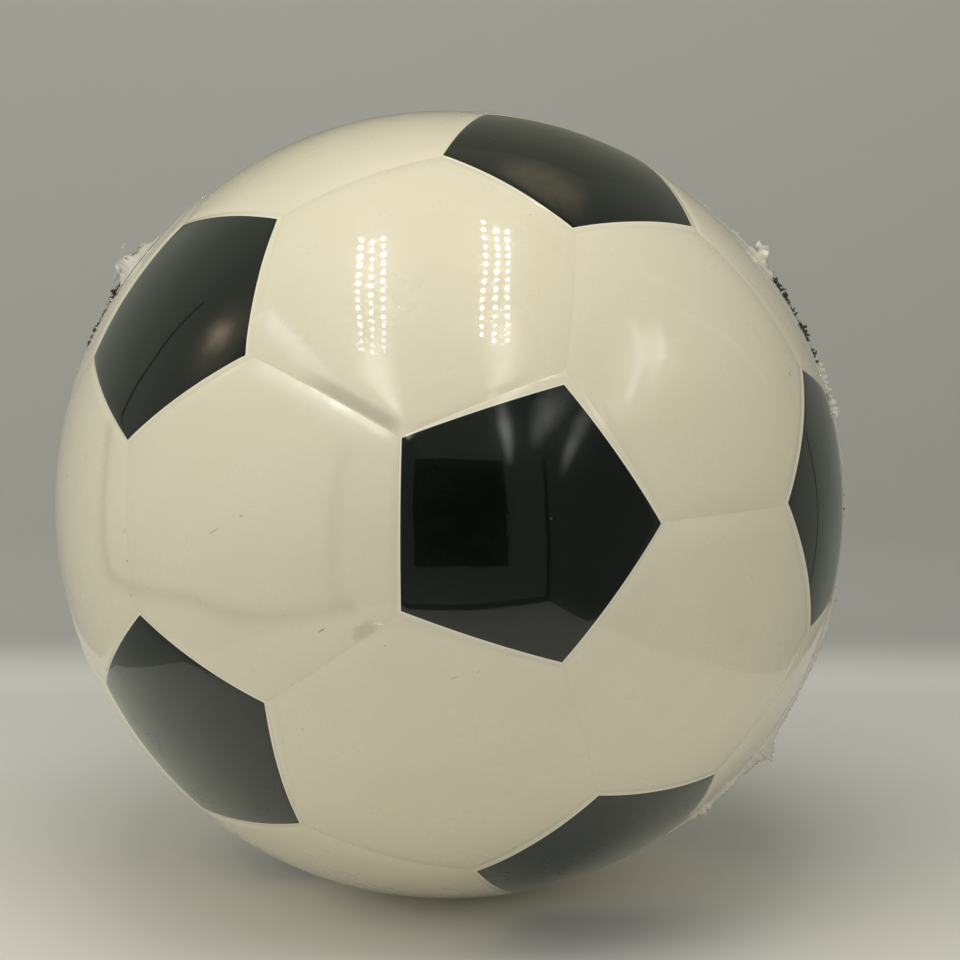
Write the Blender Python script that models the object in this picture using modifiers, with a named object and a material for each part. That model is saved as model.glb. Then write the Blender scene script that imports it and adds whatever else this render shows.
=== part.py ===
"""Soccer ball of 32 glued cover panels over a rubber carcass, a thread winding and a bladder.

Metres, +Z up. The origin is the centre of the ball, which rests on a floor at z = -BALL_R.
"""
import math

import bmesh
import bpy
from mathutils import Matrix, Vector

# ---- driving dimensions -------------------------------------------------------------------
BALL_R = 0.110                 # size 5 ball, 69 cm round
GAP = 0.0003                   # clearance between neighbouring pieces
PANEL_T = 0.0022               # PVC film with its foam backing
PANEL_CROWN = 0.0006           # how far a panel's edge lies below its middle
PANEL_CROWN_POWER = 4.0
PANEL_EDGE_ROUND = 0.0005
PANEL_CUTS = 2                 # subdivision of each fan triangle
CARCASS_OUTER_R = 0.1071       # below the flats of the faceted panels
CARCASS_T = 0.0010
WINDING_T = 0.0006
BLADDER_T = 0.0009
LAYER_CUTS = 1

# where the front pentagon looks, and how it is turned (toward its upper neighbour)
FRONT_AZIMUTH = math.radians(9.57)
FRONT_ELEVATION = math.radians(7.59)
FRONT_SPIN = math.radians(17.70)
# direction of the hexagon that carries the valve
VALVE_AZIMUTH = math.radians(145.6)
VALVE_ELEVATION = math.radians(64.5)

# valve, as radii about its axis and heights along it measured from the ball's centre
VALVE_SIDES = 24
VALVE_LIP_R = 0.0058
VALVE_LIP_TOP = BALL_R + 0.0001
VALVE_LIP_T = 0.0016
VALVE_STEM_R = 0.0044
VALVE_FLANGE_R = 0.0120
VALVE_FLANGE_T = 0.0014
FLANGE_RINGS = 3
VALVE_STEM_BOTTOM = 0.0880
VALVE_EDGE = 0.0003
CORE_HEAD_R = 0.0030
CORE_HEAD_T = 0.0012
CORE_PLUG_R = 0.0022
CORE_BOTTOM = 0.0925
CORE_NOSE_R = 0.0011
CORE_NOSE_LENGTH = 0.0020
NEEDLE_R = 0.0009
NEEDLE_DEPTH = 0.0130
VENT_R = 0.0007
PATCH_R = 0.0170
PATCH_T = 0.0010
PATCH_RINGS = 5

CARCASS_INNER_R = CARCASS_OUTER_R - CARCASS_T
WINDING_OUTER_R = CARCASS_INNER_R - GAP
WINDING_INNER_R = WINDING_OUTER_R - WINDING_T
BLADDER_OUTER_R = WINDING_INNER_R - GAP
BLADDER_INNER_R = BLADDER_OUTER_R - BLADDER_T
BLADDER_SAG = 0.0010           # the faceted bladder's flats lie this far inside its radius
PATCH_OUTER_R = BLADDER_INNER_R - BLADDER_SAG - GAP
PATCH_INNER_R = PATCH_OUTER_R - PATCH_T
FLANGE_OUTER_R = PATCH_INNER_R - GAP
FLANGE_INNER_R = FLANGE_OUTER_R - VALVE_FLANGE_T

# a panel edge over the ball's radius, and the angle from a panel's middle to its corner
EDGE_RATIO = 1.0 / math.sqrt(3.625 + 1.125 * math.sqrt(5.0))
CORNER_ANGLE = {sides: math.asin(EDGE_RATIO / (2 * math.sin(math.pi / sides))) for sides in (5, 6)}
RIM_ANGLE = math.radians(78)   # the rim of a panel is sharper than this, its corners are not

# cutting cylinders about the valve axis, as heights from the ball's centre
LIP_HOLE_SPAN = (0.100, 0.120)
STEM_HOLE_SPAN = (0.090, 0.115)

BLACK = (0.020, 0.024, 0.023, 1.0)
CREAM = (0.780, 0.745, 0.640, 1.0)


# ---- scene and materials ------------------------------------------------------------------
def clear_scene():
    for obj in list(bpy.data.objects):
        bpy.data.objects.remove(obj, do_unlink=True)


def new_collection(name):
    collection = bpy.data.collections.new(name)
    bpy.context.scene.collection.children.link(collection)
    return collection


def material(name, colour, roughness, coat=0.0):
    mat = bpy.data.materials.new(name)
    mat.use_nodes = True
    shader = mat.node_tree.nodes["Principled BSDF"]
    shader.inputs["Base Color"].default_value = colour
    shader.inputs["Roughness"].default_value = roughness
    shader.inputs["Coat Weight"].default_value = coat
    mat.diffuse_color = colour
    return mat


def add_object(name, mesh, collection, mat=None):
    obj = bpy.data.objects.new(name, mesh)
    collection.objects.link(obj)
    if mat is not None:
        obj.data.materials.append(mat)
    return obj


def add_guide(name, mesh, collection):
    guide = add_object(name, mesh, collection)
    guide.hide_render = True
    guide.display_type = 'WIRE'
    return guide


def subtract(obj, guide):
    cut = obj.modifiers.new("cut_" + guide.name, 'BOOLEAN')
    cut.operation = 'DIFFERENCE'
    cut.solver = 'EXACT'
    cut.object = guide


# ---- directions on the ball ---------------------------------------------------------------
def direction(azimuth, elevation):
    """Unit vector, with azimuth 0 toward -Y and turning toward +X."""
    level = math.cos(elevation)
    return Vector((math.sin(azimuth) * level, -math.cos(azimuth) * level, math.sin(elevation)))


def turn_to(normal, toward):
    """Rotation that takes +Z to the normal and +X as near to the other direction as it can."""
    side = (toward - normal * toward.dot(normal)).normalized()
    return Matrix((side, normal.cross(side), normal)).transposed().to_4x4()


def layout_rotation():
    front = direction(FRONT_AZIMUTH, FRONT_ELEVATION)
    up = (Vector((0, 0, 1)) - front * front.z).normalized()
    right = up.cross(front)
    return turn_to(front, up * math.cos(FRONT_SPIN) + right * math.sin(FRONT_SPIN))


# ---- the 32-panel layout ------------------------------------------------------------------
def ball_layout(cuts=None):
    """Icosahedron with its corners cut off a third of the way along each edge."""
    layout = bmesh.new()
    bmesh.ops.create_icosphere(layout, subdivisions=1, radius=1.0)
    third = layout.edges[:][0].calc_length() / 3.0
    bmesh.ops.bevel(layout, geom=layout.verts[:], offset=third, offset_type='OFFSET',
                    affect='VERTICES', segments=1, profile=0.5)
    if cuts is not None:
        subdivide_fans(layout, cuts)
    bmesh.ops.transform(layout, matrix=layout_rotation(), verts=layout.verts[:])
    return layout


def subdivide_fans(mesh, cuts):
    bmesh.ops.poke(mesh, faces=mesh.faces[:])
    bmesh.ops.subdivide_edges(mesh, edges=mesh.edges[:], cuts=cuts, use_grid_fill=True)


def project(mesh, radius):
    for vert in mesh.verts:
        vert.co = vert.co.normalized() * radius


def finish_mesh(mesh, name):
    bmesh.ops.recalc_face_normals(mesh, faces=mesh.faces[:])
    data = bpy.data.meshes.new(name)
    mesh.to_mesh(data)
    mesh.free()
    data.shade_smooth()
    return data


# ---- cover panels -------------------------------------------------------------------------
def panel_surface(corners, name):
    """Outer face of one panel, over the +Z pole with a corner toward +X, open at its rim."""
    face = bmesh.new()
    bmesh.ops.create_circle(face, cap_ends=True, segments=corners,
                            radius=math.tan(CORNER_ANGLE[corners]),
                            matrix=Matrix.Rotation(-math.pi / 2, 4, 'Z'))
    bmesh.ops.translate(face, vec=(0, 0, 1), verts=face.verts[:])
    outline = face.faces[:][0]
    inset = bmesh.ops.inset_individual(face, faces=[outline], thickness=GAP / 2 / BALL_R,
                                       use_even_offset=True)
    bmesh.ops.delete(face, geom=inset["faces"], context='FACES')
    subdivide_fans(face, PANEL_CUTS)
    reach = max(vert.co.to_2d().length for vert in face.verts)
    for vert in face.verts:
        edge_share = vert.co.to_2d().length / reach
        drop = PANEL_CROWN * edge_share ** PANEL_CROWN_POWER
        vert.co = vert.co.normalized() * (BALL_R - drop)
    if sum(f.normal.z for f in face.faces) < 0:
        bmesh.ops.reverse_faces(face, faces=face.faces[:])
    data = bpy.data.meshes.new(name)
    face.to_mesh(data)
    face.free()
    data.shade_smooth()
    return data


def add_panel(name, surface, placement, collection, mat):
    panel = add_object(name, surface, collection)
    panel.matrix_world = placement
    panel.material_slots[0].link = 'OBJECT'
    panel.material_slots[0].material = mat
    wall = panel.modifiers.new("wall", 'SOLIDIFY')
    wall.thickness = PANEL_T
    wall.offset = -1.0
    rounding = panel.modifiers.new("rim", 'BEVEL')
    rounding.width = PANEL_EDGE_ROUND
    rounding.segments = 1
    rounding.limit_method = 'ANGLE'
    rounding.angle_limit = RIM_ANGLE
    return panel


def add_cover(collection, valve_hole):
    """All panels, numbered from the front of the ball to its back."""
    layout = ball_layout()
    layout.normal_update()
    front = direction(FRONT_AZIMUTH, FRONT_ELEVATION)
    valve_way = direction(VALVE_AZIMUTH, VALVE_ELEVATION)
    valve_face = max(layout.faces[:], key=lambda f: f.normal.dot(valve_way))
    faces = sorted(layout.faces[:], key=lambda f: (-round(f.normal.dot(front), 3),
                                                   math.atan2(f.normal.x, f.normal.z)))
    for corners, shape, tint in ((5, "pentagon", BLACK), (6, "hexagon", CREAM)):
        surface = panel_surface(corners, shape + "_panel")
        surface.materials.append(None)
        number = 0
        for face in faces:
            if len(face.verts) != corners:
                continue
            number += 1
            name = "%s_panel_%02d" % (shape, number)
            skin = material(name + "_film", tint, 0.28, 0.6)
            placement = turn_to(face.normal, face.verts[:][0].co)
            panel = add_panel(name, surface, placement, collection, skin)
            if face == valve_face:
                subtract(panel, valve_hole)
    layout.free()


# ---- inner layers -------------------------------------------------------------------------
def add_layer(name, outer_r, inner_r, collection, guides, valve_hole, mat):
    outer = ball_layout(LAYER_CUTS)
    project(outer, outer_r)
    inner = ball_layout(LAYER_CUTS)
    project(inner, inner_r)
    layer = add_object(name, finish_mesh(outer, name), collection, mat)
    cavity = add_guide(name + "_cavity", finish_mesh(inner, name + "_cavity"), guides)
    subtract(layer, cavity)
    subtract(layer, valve_hole)


# ---- valve --------------------------------------------------------------------------------
def lathe(name, profile, placement, collection, mat):
    """Solid of revolution about the valve axis. A profile that starts at the axis also ends there."""
    outline = bmesh.new()
    verts = [outline.verts.new((radius, 0.0, height)) for radius, height in profile]
    for first, second in zip(verts, verts[1:]):
        outline.edges.new((first, second))
    if profile[0][0] > 0.0:
        outline.edges.new((verts[-1], verts[0]))
    data = bpy.data.meshes.new(name)
    outline.to_mesh(data)
    outline.free()
    piece = add_object(name, data, collection, mat)
    piece.matrix_world = placement
    turning = piece.modifiers.new("turning", 'SCREW')
    turning.steps = VALVE_SIDES
    turning.render_steps = VALVE_SIDES
    turning.use_merge_vertices = True
    turning.merge_threshold = 0.00001
    turning.use_smooth_shade = True
    return piece


def dome_run(radius, start, stop, steps):
    """Points on a sphere of this radius, between two distances from its axis."""
    span = [start + (stop - start) * i / steps for i in range(steps + 1)]
    return [(reach, math.sqrt(radius * radius - reach * reach)) for reach in span]


def add_valve(collection, placement):
    stem_bore_r = CORE_PLUG_R + GAP
    seat_r = CORE_HEAD_R + GAP
    seat_height = VALVE_LIP_TOP - CORE_HEAD_T - GAP
    bore_bottom = CORE_BOTTOM - GAP
    lip_bottom = VALVE_LIP_TOP - VALVE_LIP_T
    body = [
        (VALVE_LIP_R - VALVE_EDGE, VALVE_LIP_TOP),
        (VALVE_LIP_R, VALVE_LIP_TOP - VALVE_EDGE),
        (VALVE_LIP_R, lip_bottom),
        (VALVE_STEM_R, lip_bottom - VALVE_EDGE),
    ]
    body += dome_run(FLANGE_OUTER_R, VALVE_STEM_R, VALVE_FLANGE_R, FLANGE_RINGS)
    body += dome_run(FLANGE_INNER_R, VALVE_FLANGE_R, VALVE_STEM_R, FLANGE_RINGS)
    body += [
        (VALVE_STEM_R, VALVE_STEM_BOTTOM + 2 * VALVE_EDGE),
        (VALVE_STEM_R - 2 * VALVE_EDGE, VALVE_STEM_BOTTOM),
        (VENT_R, VALVE_STEM_BOTTOM),
        (VENT_R, bore_bottom),
        (stem_bore_r, bore_bottom),
        (stem_bore_r, seat_height),
        (seat_r, seat_height),
        (seat_r, VALVE_LIP_TOP),
    ]
    lathe("valve_body", body, placement, collection,
          material("valve_body_rubber", (0.030, 0.030, 0.032, 1.0), 0.55))

    core_top = VALVE_LIP_TOP - VALVE_EDGE
    needle_channel = [
        (0.0, core_top - NEEDLE_DEPTH),
        (NEEDLE_R, core_top - NEEDLE_DEPTH),
        (NEEDLE_R, core_top - VALVE_EDGE),
        (NEEDLE_R + VALVE_EDGE, core_top),
    ]
    plug = [
        (CORE_HEAD_R - VALVE_EDGE / 2, core_top),
        (CORE_HEAD_R, core_top - VALVE_EDGE / 2),
        (CORE_HEAD_R, seat_height + GAP),
        (CORE_PLUG_R, seat_height + GAP),
        (CORE_PLUG_R, CORE_BOTTOM + CORE_NOSE_LENGTH),
        (CORE_NOSE_R, CORE_BOTTOM),
        (0.0, CORE_BOTTOM),
    ]
    lathe("valve_core", needle_channel + plug, placement, collection,
          material("valve_core_rubber", (0.055, 0.050, 0.046, 1.0), 0.45))

    hole_r = VALVE_STEM_R + GAP
    patch = dome_run(PATCH_OUTER_R, hole_r, PATCH_R, PATCH_RINGS)
    patch += dome_run(PATCH_INNER_R, PATCH_R, hole_r, PATCH_RINGS)
    lathe("valve_patch", patch, placement, collection,
          material("valve_patch_rubber", (0.045, 0.042, 0.040, 1.0), 0.60))


def cylinder_guide(name, radius, span, placement, guides):
    """Cutting cylinder about the valve axis, its corners clear of the layers' edges."""
    low, high = span
    tool = bmesh.new()
    bmesh.ops.create_cone(tool, cap_ends=True, segments=VALVE_SIDES, radius1=radius,
                          radius2=radius, depth=high - low)
    bmesh.ops.rotate(tool, cent=(0, 0, 0), verts=tool.verts[:],
                     matrix=Matrix.Rotation(math.pi / VALVE_SIDES, 3, 'Z'))
    bmesh.ops.translate(tool, vec=(0, 0, (high + low) / 2), verts=tool.verts[:])
    bmesh.ops.transform(tool, matrix=placement, verts=tool.verts[:])
    return add_guide(name, finish_mesh(tool, name), guides)


# ---- assembly -----------------------------------------------------------------------------

def main():
    clear_scene()
    ball = new_collection("soccer_ball")
    guides = new_collection("guides")
    valve_way = direction(VALVE_AZIMUTH, VALVE_ELEVATION)
    placement = turn_to(valve_way, direction(FRONT_AZIMUTH, FRONT_ELEVATION))
    lip_hole = cylinder_guide("lip_hole", VALVE_LIP_R + GAP, LIP_HOLE_SPAN, placement, guides)
    stem_hole = cylinder_guide("stem_hole", VALVE_STEM_R + GAP, STEM_HOLE_SPAN, placement, guides)
    add_cover(ball, lip_hole)
    add_layer("rubber_carcass", CARCASS_OUTER_R, CARCASS_INNER_R, ball, guides, stem_hole,
              material("carcass_rubber", (0.130, 0.115, 0.095, 1.0), 0.75))
    add_layer("nylon_winding", WINDING_OUTER_R, WINDING_INNER_R, ball, guides, stem_hole,
              material("winding_nylon", (0.600, 0.590, 0.540, 1.0), 0.65))
    add_layer("bladder", BLADDER_OUTER_R, BLADDER_INNER_R, ball, guides, stem_hole,
              material("bladder_butyl", (0.040, 0.038, 0.038, 1.0), 0.50))
    add_valve(ball, placement)


main()
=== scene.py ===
"""Looks for the soccer ball: detailed cover panels, torn film, valve, materials, light and camera."""
import math
import random

import bmesh
import bpy
import numpy as np
from mathutils import Matrix, Vector


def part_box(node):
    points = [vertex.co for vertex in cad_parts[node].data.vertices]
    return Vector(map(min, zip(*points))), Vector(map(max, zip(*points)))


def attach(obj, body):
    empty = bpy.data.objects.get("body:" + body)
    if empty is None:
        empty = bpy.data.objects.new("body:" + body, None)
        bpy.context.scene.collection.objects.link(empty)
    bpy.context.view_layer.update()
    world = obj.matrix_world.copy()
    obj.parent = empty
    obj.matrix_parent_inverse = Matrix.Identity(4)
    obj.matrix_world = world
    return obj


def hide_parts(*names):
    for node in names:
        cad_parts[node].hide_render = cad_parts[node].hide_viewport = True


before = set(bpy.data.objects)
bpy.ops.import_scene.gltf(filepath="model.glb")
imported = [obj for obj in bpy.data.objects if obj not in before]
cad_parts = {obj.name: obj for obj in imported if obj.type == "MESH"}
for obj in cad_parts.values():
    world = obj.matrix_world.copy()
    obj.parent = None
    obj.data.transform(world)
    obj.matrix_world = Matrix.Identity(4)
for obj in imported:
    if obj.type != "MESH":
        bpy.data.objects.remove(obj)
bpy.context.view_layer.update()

# ---- sizes, in metres and degrees ----------------------------------------------------------
BALL_R = 0.110
PANEL_T = 0.0022
FLOOR_Z = -0.1101
MM = 0.001

# layout of the panels: where the front pentagon looks and how it is turned
FRONT = (9.57, 7.59)
FRONT_SPIN = 17.70
VALVE_NODE = "valve_body"
VALVE_AXIS = Vector((0.243225, 0.355221, 0.902585)).normalized()
VALVE_HOLE_R = 0.0061

# camera
CAMERA_AT = Vector((0.00855, -0.84371, 0.15568))
CAMERA_PITCH = 80.0
CAMERA_LENS = 114.35

# how far each printed pentagon sits off its place: east, north and turn, in degrees
PRINT_DRIFT = {
    (9.6, 7.6): (0.57, -0.02, -1.89),
    (49.0, 64.6): (-0.63, 1.04, -0.04),
    (-53.2, 35.2): (-0.36, -0.68, -0.95),
    (-45.0, -27.8): (0.39, 0.59, -0.98),
    (36.4, -51.5): (0.71, 0.42, 0.85),
    (73.2, 3.7): (0.28, 0.52, -0.53),
}
SEAM_FOLLOWS = 0.6             # share of that drift which the panel's own outline has
# corners of panels that sit off the regular layout: azimuth and elevation
CORNERS_AT = [(17.9, 27.6), (-30.1, 28.96), (-38.6, 51.7), (-6.14, 19.04), (30.3, 6.85)]
PRINT_CORNER = 19.3            # angle from the middle of a printed pentagon to its corner
WHITE_LINE = 0.42 * MM         # width of the white line round the black print

SEAM_DEPTH_HEX = 0.42 * MM     # seam between two hexagons
# some seams differ: azimuth and elevation of their middle, depth and width in mm
SEAM_DEPTHS = [(-18.0, 24.3, 0.42, 7.6), (46.2, 6.0, 0.60, 7.6), (25.5, 37.5, 0.26, 5.6),
               (66.0, 34.0, 0.20, 5.6),
               (-15.7, -11.9, 0.42, 5.6), (16.5, -21.5, 0.10, 5.6), (-49.0, 4.0, 0.22, 5.6)]
SEAM_WIDTH_HEX = 5.6 * MM
SEAM_DEPTH_PENT = 0.26 * MM    # seam round a pentagon
SEAM_WIDTH_PENT = 2.6 * MM
SEAM_DEPTH_CORNER = 0.32 * MM
SEAM_GAP = 0.02 * MM


def direction(azimuth, elevation):
    az, el = math.radians(azimuth), math.radians(elevation)
    return Vector((math.sin(az) * math.cos(el), -math.cos(az) * math.cos(el), math.sin(el)))


def east_north(way):
    north = (Vector((0, 0, 1)) - way * way.z).normalized()
    return north.cross(way), north


VIEW = CAMERA_AT.normalized()
VIEW_EAST, VIEW_NORTH = east_north(VIEW)


def from_view(turn, away):
    """Direction this many degrees away from the camera's, at this turn from the right, counterclockwise."""
    t, a = math.radians(turn), math.radians(away)
    side = VIEW_EAST * math.cos(t) + VIEW_NORTH * math.sin(t)
    return VIEW * math.cos(a) + side * math.sin(a)


# ---- layout --------------------------------------------------------------------------------
def layout_faces():
    """The 32 panels of the turned and slightly uneven layout, as dicts."""
    front = direction(*FRONT)
    east, north = east_north(front)
    spin = math.radians(FRONT_SPIN)
    side = north * math.cos(spin) + east * math.sin(spin)
    turn = Matrix((side, front.cross(side), front)).transposed().to_4x4()
    bm = bmesh.new()
    bmesh.ops.create_icosphere(bm, subdivisions=1, radius=1.0)
    third = bm.edges[:][0].calc_length() / 3.0
    bmesh.ops.bevel(bm, geom=bm.verts[:], offset=third, offset_type='OFFSET',
                    affect='VERTICES', segments=1, profile=0.5)
    bmesh.ops.transform(bm, matrix=turn, verts=bm.verts[:])
    bm.normal_update()
    bm.verts.index_update()
    corners = {v.index: v.co.normalized() for v in bm.verts}
    drift = {}
    for f in bm.faces:
        if len(f.verts) != 5:
            continue
        way = f.normal.normalized()
        found = [d for at, d in PRINT_DRIFT.items() if way.dot(direction(*at)) > 0.995]
        rng = random.Random(int(1000 * (way.x + 2 * way.y + 3 * way.z)))
        own = found[0] if found else (rng.uniform(-.5, .5), rng.uniform(-.5, .5), rng.uniform(-1, 1))
        drift[f.index] = drift_rotation(way, own)
        part = drift_rotation(way, tuple(SEAM_FOLLOWS * x for x in own))
        for v in f.verts:
            corners[v.index] = part @ corners[v.index]
    for at in CORNERS_AT:
        target = direction(*at)
        nearest = max(corners, key=lambda i: corners[i].dot(target))
        corners[nearest] = target
    faces = []
    for f in bm.faces:
        loop = list(f.loops)
        faces.append({
            "way": f.normal.normalized(),
            "corners": [corners[l.vert.index] for l in loop],
            "ideal": [l.vert.co.normalized() for l in loop],
            "depths": [seam_depth(l) for l in loop],
            "sides": len(loop),
            "drift": drift.get(f.index),
        })
    bm.free()
    return faces


def seam_depth(loop):
    """Depth and width of the seam along this side of a panel."""
    if any(len(g.verts) == 5 for g in loop.edge.link_faces):
        return SEAM_DEPTH_PENT, SEAM_WIDTH_PENT
    middle = (loop.edge.verts[0].co + loop.edge.verts[1].co).normalized()
    for az, el, depth, width in SEAM_DEPTHS:
        if middle.dot(direction(az, el)) > math.cos(math.radians(6)):
            return depth * MM, width * MM
    return SEAM_DEPTH_HEX, SEAM_WIDTH_HEX


def drift_rotation(way, own):
    """Rotation that slides a panel east and north and turns it by own, in degrees."""
    east, north = east_north(way)
    moved = way.cross(east * math.radians(own[0]) + north * math.radians(own[1]))
    slide = Matrix.Rotation(moved.length, 3, moved.normalized()) if moved.length else Matrix.Identity(3)
    return slide @ Matrix.Rotation(math.radians(own[2]), 3, way)


def nodes_by_direction():
    found = {}
    for name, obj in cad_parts.items():
        if "_panel_" in name:
            co = np.array([v.co for v in obj.data.vertices])
            found[name] = Vector(co.mean(0)).normalized()
    return found


# ---- relief --------------------------------------------------------------------------------
def smooth(x, low, high):
    t = np.clip((x - low) / (high - low), 0, 1)
    return t * t * (3 - 2 * t)


rng = np.random.default_rng(11)
WAVE_SLOPE = 0.00022
# waves of the cover: direction, phase and length
WAVES = [(rng.normal(size=3), rng.uniform(0, 2 * math.pi), rng.uniform(14, 45) * MM) for _ in range(46)]
WAVES = [(k / np.linalg.norm(k) * 2 * math.pi / length, phase, length) for k, phase, length in WAVES]

# ridges and grooves in the film: points (azimuth, elevation), height and half width in mm
RIDGES = [
    ([(-5.9, 19.3), (-0.7, 21.05), (4.85, 23.26), (10.7, 25.55), (17.9, 27.6)], 0.05, 0.5),
    ([(14.8, 26.5), (17.8, 26.95)], 0.10, 0.35),
    ([(-38.6, 49.3), (-35.1, 41.75), (-32.6, 35.6), (-31.1, 29.8)], -0.07, 0.5),
    ([(-32.2, 34.2), (-29.44, 35.6)], 0.06, 0.8),
    ([(-56.9, 16.0), (-55.7, 9.3), (-55.0, 1.1), (-53.7, -3.5), (-48.3, -4.7), (-36.3, -4.4), (-28.9, -5.8),
      (-23.6, -5.4), (-12.4, -3.1)], -0.24, 1.9),
    ([(-24.3, -17.2), (-24.3, -23.6), (-25.4, -31.8), (-28.2, -40.8)], -0.07, 0.6),
    ([(37.6, 40.8), (44.7, 37.5)], 0.05, 1.2),
    ([(41.7, 34.6), (50.0, 29.7), (50.7, 28.9), (55.0, 23.3)], 0.05, 0.9),
    ([(63.9, 44.0), (68.5, 36.0), (72.5, 28.8)], -0.08, 1.2),
    ([(61.0, 48.1), (66.8, 38.4)], 0.06, 1.0),
    ([(31.0, 33.5), (30.2, 28.0), (27.0, 23.5)], 0.16, 2.2),
    ([(36.0, 33.0), (34.5, 28.5)], 0.12, 2.0),
    ([(-13.6, 16.5), (-14.2, 12.0), (-14.4, 5.5), (-14.1, -2.3)], -0.13, 2.0),
]

# a flat facet of stretched film: its fold line and the seam it leads down to, as azimuth and elevation
FACET_FOLD = ((-29.44, 35.57), (-8.0, 20.3))
FACET_SEAM = ((-30.1, 28.96), (-6.14, 19.04))
FACET_SLOPE = 0.075


def near_line(p, points, width):
    """1 on a polyline on the ball, falling to 0 as a bell of this half width; it fades at its ends."""
    pts = [np.array(list(direction(*q))) * BALL_R for q in points]
    best = np.full(len(p), 9.0)
    for a, b in zip(pts, pts[1:]):
        ab = b - a
        t = np.clip((p - a) @ ab / (ab @ ab), 0, 1)
        best = np.minimum(best, np.linalg.norm(p - a - t[:, None] * ab, axis=1))
    return np.exp(-(best / width) ** 2)


def great_circle(ends, toward):
    """Unit normal of the plane through two directions and the centre, on the side of a third."""
    m = np.cross(*ends)
    m /= np.linalg.norm(m)
    return -m if toward @ m < 0 else m


def facet_place(unit):
    """Unit points as distances past the fold and above the seam, share along the seam, and nearness."""
    fold_ends, seam_ends = ([np.array(list(direction(*q))) for q in ends]
                            for ends in (FACET_FOLD, FACET_SEAM))
    fold = great_circle(fold_ends, seam_ends[0])
    seam = great_circle(seam_ends, fold_ends[0])
    run = seam_ends[1] - seam_ends[0]
    past = np.arcsin(unit @ fold) * BALL_R
    above = np.arcsin(unit @ seam) * BALL_R
    return past, above, (unit - seam_ends[0]) @ run / (run @ run), unit @ seam_ends[0]


def facet_drop(p):
    """How far the facet lies below the ball at points p."""
    past, above, along, near = facet_place(p / np.linalg.norm(p, axis=1)[:, None])
    ends = smooth(along, -0.12, 0.03) * (1 - smooth(along, 0.85, 1.0)) * (near > 0.7)
    high = FACET_SLOPE * np.maximum(past, 0)
    low = FACET_SLOPE * np.maximum(past + above, 0) * np.clip(1 + above / (5 * MM), 0, 1) ** 2
    return np.where(above > 0, high, low) * ends


def film_highlight_and_shade(unit):
    """How far the film is painted lighter and darker at unit points of the ball. Lighter: on the facet and
    along raised ridges, and a painted highlight on the lower side of the V seam, which faces up. Darker:
    painted shade on the upper side of the V seam, which faces down, and darker lines along grooves.
    """
    past, above, t, near = facet_place(unit)
    a, b = past / MM, above / MM
    facet = (smooth(a, -0.4, 0.5) * (1 - smooth(a, 1.5, 7)) * smooth(b, -1.0, 1.5)
             * smooth(t, -0.10, -0.02) * (1 - smooth(t, 0.15, 0.75)))
    # painted highlight: the lower side of the V seam, which faces up, is made lighter in colour
    seam_lower_highlight = (smooth(-b, -0.3, 0.4) * (1 - smooth(-b, 1.0, 7.0))
             * smooth(t, -0.02, 0.10) * (1 - smooth(t, 0.55, 1.0)))
    # painted shade: the upper side of the V seam, which faces down, is made darker in colour
    shade = (smooth(b, 0.1, 0.8) * (1 - smooth(b, 2.5, 4.5))
             * smooth(t, 0.25, 0.55) * (1 - smooth(t, 0.9, 1.0)))
    highlight_and_lightening = (0.60 * facet + 0.45 * seam_lower_highlight) * (near > 0.6)
    shade_and_groove_dark = 0.62 * shade * (near > 0.6)
    # raised ridges make the film lighter along them, and grooves make it darker
    for points, height, width in RIDGES:
        if height > 0:
            strength = min(0.9, height * 4.5 * min(1.0, 0.8 / width))
            highlight_and_lightening = highlight_and_lightening + near_line(unit * BALL_R, points, width * 0.8 * MM) * strength
        else:
            shade_and_groove_dark = shade_and_groove_dark + near_line(unit * BALL_R, points, width * 1.2 * MM) * min(0.30, -height * 1.2)
    return np.clip(highlight_and_lightening, 0, 1), np.clip(shade_and_groove_dark, 0, 1)


def relief(p):
    """Height in metres of the small unevenness of the cover at points p on the ball."""
    h = np.zeros(len(p))
    for k, phase, length in WAVES:
        h += np.sin(p @ k + phase) * length * WAVE_SLOPE
    for points, height, width in RIDGES:
        h += near_line(p, points, width * MM) * height * MM
    return h - facet_drop(p)


def slerp(a, b, t):
    angle = math.acos(max(-1.0, min(1.0, a.dot(b))))
    if angle < 1e-9:
        return a.copy()
    return (a * math.sin((1 - t) * angle) + b * math.sin(t * angle)) / math.sin(angle)


def seam_drop(p, face):
    """How far the seams pull the cover in at unit points p of this panel."""
    corners = np.array([list(c) for c in face["corners"]])
    away = np.min(np.arccos(np.clip(p @ corners.T, -1, 1)), axis=1) * BALL_R
    near = np.exp(-away / (3.2 * MM))
    way = np.array(face["way"])
    drop = np.zeros(len(p))
    for a, b, (depth, width) in zip(corners, np.roll(corners, -1, axis=0), face["depths"]):
        d = np.arcsin(np.clip(p @ great_circle((a, b), way), -1, 1)) * BALL_R
        depth = depth + (SEAM_DEPTH_CORNER - depth) * near
        x = np.clip(d / width, 0, 1)
        drop = np.maximum(drop, depth * (1 - x) ** 2)
    return drop


# ---- the worn zone -------------------------------------------------------------------------
def peel_amount(p):
    """0 where the film is whole, toward 1 where it has broken away, behind the ball's right rim."""
    v, e, n = (np.array(list(x)) for x in (VIEW, VIEW_EAST, VIEW_NORTH))
    away = np.degrees(np.arccos(np.clip(p @ v, -1, 1)))
    turn = np.degrees(np.arctan2(p @ n, p @ e))
    around = np.maximum(smooth(turn, -62, -40) * (1 - smooth(turn, 28, 46)),
                        smooth(turn, 136, 143) * (1 - smooth(turn, 158, 168)))
    depth = smooth(away, 82.5, 88.0) * (1 - smooth(away, 91, 108))
    return around * depth


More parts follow.
